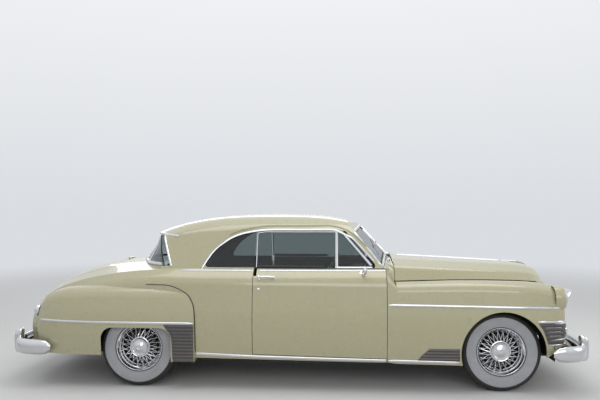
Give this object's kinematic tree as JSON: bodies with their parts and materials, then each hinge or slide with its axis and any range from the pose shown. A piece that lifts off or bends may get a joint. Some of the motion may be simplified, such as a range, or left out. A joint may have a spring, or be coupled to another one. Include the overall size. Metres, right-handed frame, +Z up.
{
  "type": "vintage hardtop car",
  "caption": "Full-size two-door hardtop saloon car of about 1950 with opening doors, hood and boot lid, steering and rolling wheels.",
  "frame": {"origin": "on the ground, in the middle of the overall length and width", "axes": "+X forward, +Y to the car's left, +Z up"},
  "size_m": [5.436, 1.932, 1.6095],
  "materials": {
    "body_paint": "gloss",
    "chrome": "polished",
    "black_paint": "satin",
    "glass": "clear",
    "red_glass": "clear",
    "tyre": "matt",
    "upholstery": "satin",
    "interior_plastic": "gloss",
    "cast_metal": "matt"
  },
  "bodies": {
    "body": {"frame": "black_paint", "floor_pan": "black_paint", "body_shell": "body_paint", "front_fender_left": "body_paint", "front_fender_right": "body_paint", "nose_panel": "body_paint", "rear_fender_left": "body_paint", "rear_fender_right": "body_paint", "grille": "chrome", "front_bumper": "chrome", "rear_bumper": "chrome", "headlamps": "chrome", "lamp_lenses": "glass", "tail_lamps": "red_glass", "windscreen": "glass", "rear_window": "glass", "quarter_glass_left": "glass", "quarter_glass_right": "glass", "front_seat": "upholstery", "rear_seat": "upholstery", "dashboard": "interior_plastic", "steering_column": "interior_plastic", "engine": "cast_metal", "radiator": "black_paint", "rear_axle": "black_paint", "front_suspension": "black_paint", "fuel_tank": "black_paint"},
    "hood": {"hood": "body_paint"},
    "trunk_lid": {"trunk_lid": "body_paint"},
    "door_left": {"door_left": "body_paint", "door_glass_left": "glass"},
    "door_right": {"door_right": "body_paint", "door_glass_right": "glass"},
    "knuckle_left": {"knuckle_left": "black_paint"},
    "knuckle_right": {"knuckle_right": "black_paint"},
    "wheel_fl": {"wheel_fl": "chrome", "tyre_fl": "tyre"},
    "wheel_fr": {"wheel_fr": "chrome", "tyre_fr": "tyre"},
    "wheel_rl": {"wheel_rl": "chrome", "tyre_rl": "tyre"},
    "wheel_rr": {"wheel_rr": "chrome", "tyre_rr": "tyre"},
    "steering_wheel": {"steering_wheel": "interior_plastic"},
    "tie_rod": {"tie_rod": "black_paint"}
  },
  "joints": [
    {"name": "hood_hinge", "type": "hinge", "parent": "body", "child": "hood", "pos_m": [0.9575, 0, 1.197], "axis": [0, 1, 0], "range_deg": [-48, 0]},
    {"name": "trunk_hinge", "type": "hinge", "parent": "body", "child": "trunk_lid", "pos_m": [-1.8095, 0, 1.138], "axis": [0, 1, 0], "range_deg": [0, 50]},
    {"name": "door_left_hinge", "type": "hinge", "parent": "body", "child": "door_left", "pos_m": [0.846, 0.938, 0.7], "axis": [0, 0, 1], "range_deg": [-65, 0]},
    {"name": "door_right_hinge", "type": "hinge", "parent": "body", "child": "door_right", "pos_m": [0.846, -0.938, 0.7], "axis": [0, 0, 1], "range_deg": [0, 65]},
    {"name": "steer_left", "type": "hinge", "parent": "body", "child": "knuckle_left", "pos_m": [1.902, 0.64, 0.36], "axis": [0, 0, 1], "range_deg": [-28, 28]},
    {"name": "steer_right", "type": "hinge", "parent": "body", "child": "knuckle_right", "pos_m": [1.902, -0.64, 0.36], "axis": [0, 0, 1], "range_deg": [-28, 28]},
    {"name": "wheel_fl_spin", "type": "hinge", "parent": "knuckle_left", "child": "wheel_fl", "pos_m": [1.902, 0.724, 0.36], "axis": [0, 1, 0], "continuous": true},
    {"name": "wheel_fr_spin", "type": "hinge", "parent": "knuckle_right", "child": "wheel_fr", "pos_m": [1.902, -0.724, 0.36], "axis": [0, 1, 0], "continuous": true},
    {"name": "wheel_rl_spin", "type": "hinge", "parent": "body", "child": "wheel_rl", "pos_m": [-1.438, 0.757, 0.36], "axis": [0, 1, 0], "continuous": true},
    {"name": "wheel_rr_spin", "type": "hinge", "parent": "body", "child": "wheel_rr", "pos_m": [-1.438, -0.757, 0.36], "axis": [0, 1, 0], "continuous": true},
    {"name": "steering_wheel_turn", "type": "hinge", "parent": "body", "child": "steering_wheel", "pos_m": [0.33, 0.4, 0.985], "axis": [-0.8582, 0, 0.5134], "range_deg": [-450, 450]},
    {"name": "tie_rod_slide", "type": "slide", "parent": "body", "child": "tie_rod", "axis": [0, 1, 0], "range_m": [-0.08, 0.08]}
  ],
  "couplings": [
    {"joint": "steer_right", "follows": "steer_left", "ratio": 1},
    {"joint": "steering_wheel_turn", "follows": "steer_left", "ratio": 16},
    {"joint": "tie_rod_slide", "follows": "steer_left", "m_per_rad": -0.144}
  ]
}
